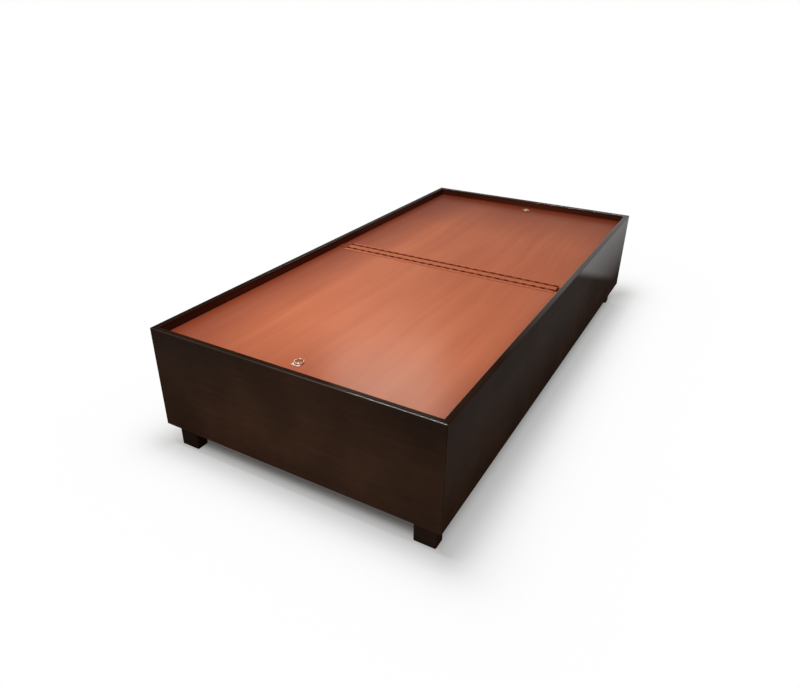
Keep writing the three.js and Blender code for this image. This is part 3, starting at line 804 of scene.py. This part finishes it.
def plate_part():
    """The pull's plate: a rounded rectangle of sheet with a softened upper edge, its top at z = 0."""
    rings = []
    for inset, z in (
        (0.0, -PLATE_THICKNESS), (0.0, -PLATE_EASE),
        (0.3 * PLATE_EASE, -0.3 * PLATE_EASE), (PLATE_EASE, 0.0),
    ):
        r = PLATE_CORNER - inset
        x = PLATE_LENGTH / 2 - PLATE_CORNER
        y = PLATE_WIDTH / 2 - PLATE_CORNER
        outline = arc((x, -y), r, -90, 0, 6) + arc((x, y), r, 0, 90, 6)
        outline += arc((-x, y), r, 90, 180, 6) + arc((-x, -y), r, 180, 270, 6)
        rings.append([(*point, z) for point in outline])
    return skinned(rings)


def eye_part():
    """The eye: a staple of round wire over the ring, its feet in the plate."""
    reach = EYE_RISE + EYE_WIRE_RADIUS
    foot = -PLATE_THICKNESS / 2
    straight = 0.5
    path = [(0, -reach, foot), (0, -reach, straight)]
    path += [(0, y, z + EYE_RISE) for y, z in arc((0, 0), reach, 180, 0, 16)]
    path += [(0, reach, straight), (0, reach, foot)]
    return swept(path, EYE_WIRE_RADIUS, WIRE_SIDES)


def ring_part():
    """The ring: round wire, lying flat through the eye."""
    circle = arc((0, RING_RADIUS), RING_RADIUS, -90, 270 - 360 / RING_STEPS, RING_STEPS - 1)
    return swept([(x, y, EYE_RISE) for x, y in circle], RING_WIRE_RADIUS, WIRE_SIDES, closed=True)


def add_pull(end):
    """One ring pull: plate and eye, ring, and two screws."""
    place = ENDS[end] @ Matrix.Translation((PULL_X[end] * MM, -PULL_Y * MM, PLATE_TOP * MM))
    lid = f"{end}_lid"
    plate_and_eye = gather([plate_part(), eye_part()])
    add_piece(f"plate_and_eye_{end}", "plating", lid, [f"pull_plate_{end}"], plate_and_eye, place)
    add_piece(f"ring_{end}", "plating", f"{end}_ring", [f"pull_ring_{end}"], ring_part(), place,
              finish=RING_FINISH)
    screw = screw_part(**PULL_SCREW)
    # The lift keeps the screws' rims from lying in the plate's top
    screws = gather([moved(screw, (x, 0, SCREW_LIFT), 0.6 + x) for x in (-PULL_SCREW_X, PULL_SCREW_X)])
    nodes = [f"pull_screw_{end}_{i}" for i in (1, 2)]
    add_piece(f"plate_screws_{end}", "plating", lid, nodes, screws, place)


def finish_solids():
    """Gives the solids, such as boards, posts, legs and leg screws, the finish of their slot."""
    for entry in frame["record"]["subparts"]:
        node = frame["nodes"][entry["node"]]
        finish = FINISHES.get(entry["material_slot"])
        if finish is None:
            longest = list(node.dimensions).index(max(node.dimensions))
            finish = BARE_WOODS[entry["material_slot"]]["xyz"[longest]]
        for slot in node.material_slots:
            slot.material = finish


# The stage

def seen_rays(tree):
    """1 where a ray comes from the camera, or through or off a glossy or clear piece, and 0 elsewhere."""
    rays = add_node(tree, "ShaderNodeLightPath")
    seen = add_node(tree, "ShaderNodeMath", {
        0: rays.outputs["Is Camera Ray"], 1: rays.outputs["Is Glossy Ray"],
    }, operation="MAXIMUM")
    return add_node(tree, "ShaderNodeMath", {
        0: seen, 1: rays.outputs["Is Transmission Ray"],
    }, operation="MAXIMUM")


def past_shade(tree):
    """How far a point of the floor lies past the shade's outline, in metres, and below 0 within it."""
    at = add_node(tree, "ShaderNodeSeparateXYZ", {
        "Vector": add_node(tree, "ShaderNodeTexCoord").outputs["Object"],
    })
    aside = add_node(tree, "ShaderNodeMath", {0: at.outputs["X"]}, operation="ABSOLUTE")
    past_side = add_node(tree, "ShaderNodeMath", {0: aside, 1: WIDTH / 2 * MM}, operation="SUBTRACT")
    foot = LENGTH / 2 - SHADE_SHORT_AT_FOOT
    past_foot = add_node(tree, "ShaderNodeMath", {
        0: at.outputs["Y"], 1: -FADE_PAST_FOOT, 2: -FADE_PAST_FOOT * foot * MM,
    }, operation="MULTIPLY_ADD")
    head = LENGTH / 2 + SHADE_PAST_HEAD
    past_head = add_node(tree, "ShaderNodeMath", {
        0: at.outputs["Y"], 1: FADE_PAST_HEAD, 2: -FADE_PAST_HEAD * head * MM,
    }, operation="MULTIPLY_ADD")
    past_end = add_node(tree, "ShaderNodeMath", {0: past_foot, 1: past_head}, operation="MAXIMUM")
    past = add_node(tree, "ShaderNodeCombineXYZ", {"X": past_side, "Y": past_end})
    outside = add_node(tree, "ShaderNodeVectorMath", {0: past}, operation="MAXIMUM")
    distance = add_node(tree, "ShaderNodeVectorMath", {0: outside}, operation="LENGTH")
    nearest = add_node(tree, "ShaderNodeMath", {0: past_side, 1: past_end}, operation="MAXIMUM")
    within = add_node(tree, "ShaderNodeMath", {0: nearest, 1: 0.0}, operation="MINIMUM")
    return add_node(tree, "ShaderNodeMath", {0: distance.outputs["Value"], 1: within}, operation="ADD")


def white_studio_floor():
    """Matt white paper: looked at, it is a darker grey with painted shade by the bed, over its real shadow,
    and goes over into white away from it.
    """
    paint = bpy.data.materials.new("white_studio_floor")
    paint.use_nodes = True
    tree = paint.node_tree
    tree.nodes.clear()
    first, last = STUDIO_WHITENESS[0][0], STUDIO_WHITENESS[-1][0]
    share = add_node(tree, "ShaderNodeMapRange", {
        "Value": past_shade(tree), "From Min": first * MM, "From Max": last * MM,
    })
    whiteness = add_node(tree, "ShaderNodeValToRGB", {"Fac": share}, stops=[
        ((distance - first) / (last - first), tone) for distance, tone in STUDIO_WHITENESS
    ])
    # Painted shade: looked at, the paper near the bed is this darker grey
    grey = add_node(tree, "ShaderNodeBsdfDiffuse", {"Color": srgb("#a1a1a1")})
    white = add_node(tree, "ShaderNodeEmission", {"Color": srgb("#ffffff"), "Strength": 1.0})
    looked_at = add_node(tree, "ShaderNodeMixShader", {"Fac": whiteness, 1: grey, 2: white})
    matt = add_node(tree, "ShaderNodeBsdfDiffuse", {"Color": srgb("#e6e6e6")})
    surface = add_node(tree, "ShaderNodeMixShader", {"Fac": seen_rays(tree), 1: matt, 2: looked_at})
    add_node(tree, "ShaderNodeOutputMaterial", {"Surface": surface})
    return paint


def add_floor():
    """The floor under the bed, wide enough to look endless."""
    mesh = bpy.data.meshes.new("studio_floor")
    corners = [(x * STUDIO_REACH, y * STUDIO_REACH, 0) for x, y in ((-1, -1), (1, -1), (1, 1), (-1, 1))]
    mesh.from_pydata(corners, [], [(0, 1, 2, 3)])
    mesh.materials.append(white_studio_floor())
    floor = bpy.data.objects.new("studio_floor", mesh)
    bpy.context.scene.collection.objects.link(floor)


def add_surrounding():
    """Even white light from all round, and white where it is looked at."""
    world = bpy.data.worlds.new("white_surrounding")
    world.use_nodes = True
    tree = world.node_tree
    tree.nodes.clear()
    strength = add_node(tree, "ShaderNodeMapRange", {
        "Value": seen_rays(tree), "To Min": WORLD_LIGHT, "To Max": 1.0,
    })
    light = add_node(tree, "ShaderNodeBackground", {"Color": srgb("#ffffff"), "Strength": strength})
    add_node(tree, "ShaderNodeOutputWorld", {"Surface": light})
    bpy.context.scene.world = world


def add_lamp(name, place, target, width, depth, power, colour):
    """A soft lamp that looks at a target; its width lies level."""
    data = bpy.data.lights.new(name, "AREA")
    data.shape = "RECTANGLE"
    data.size = width
    data.size_y = depth
    data.energy = power
    data.color = srgb(colour)[:3]
    lamp = bpy.data.objects.new(name, data)
    lamp.location = place
    lamp.rotation_euler = (Vector(target) - Vector(place)).to_track_quat("-Z", "Y").to_euler()
    bpy.context.scene.collection.objects.link(lamp)


def add_camera():
    """The photograph's camera: yaw turns it level, pitch tips it down, roll turns its picture."""
    forward = Vector((
        math.sin(CAMERA_YAW) * math.cos(CAMERA_PITCH),
        math.cos(CAMERA_YAW) * math.cos(CAMERA_PITCH),
        -math.sin(CAMERA_PITCH),
    ))
    level = Vector((math.cos(CAMERA_YAW), -math.sin(CAMERA_YAW), 0))
    upright = level.cross(forward)
    right = math.cos(CAMERA_ROLL) * level + math.sin(CAMERA_ROLL) * upright
    up = -math.sin(CAMERA_ROLL) * level + math.cos(CAMERA_ROLL) * upright
    data = bpy.data.cameras.new("camera")
    data.sensor_fit = "HORIZONTAL"
    data.sensor_width = CAMERA_SENSOR
    data.lens = CAMERA_LENS
    data.clip_end = CAMERA_REACH
    camera = bpy.data.objects.new("camera", data)
    turn = Matrix((right, up, -forward)).transposed().to_4x4()
    camera.matrix_world = Matrix.Translation(CAMERA_PLACE) @ turn
    bpy.context.scene.collection.objects.link(camera)
    bpy.context.scene.camera = camera


add_panels()
for end in ENDS:
    add_hinge(end)
    add_pull(end)
finish_solids()

add_camera()
add_floor()
add_surrounding()
for name, settings in LAMPS.items():
    add_lamp(name, **settings)
bpy.context.scene.view_settings.view_transform = "Standard"
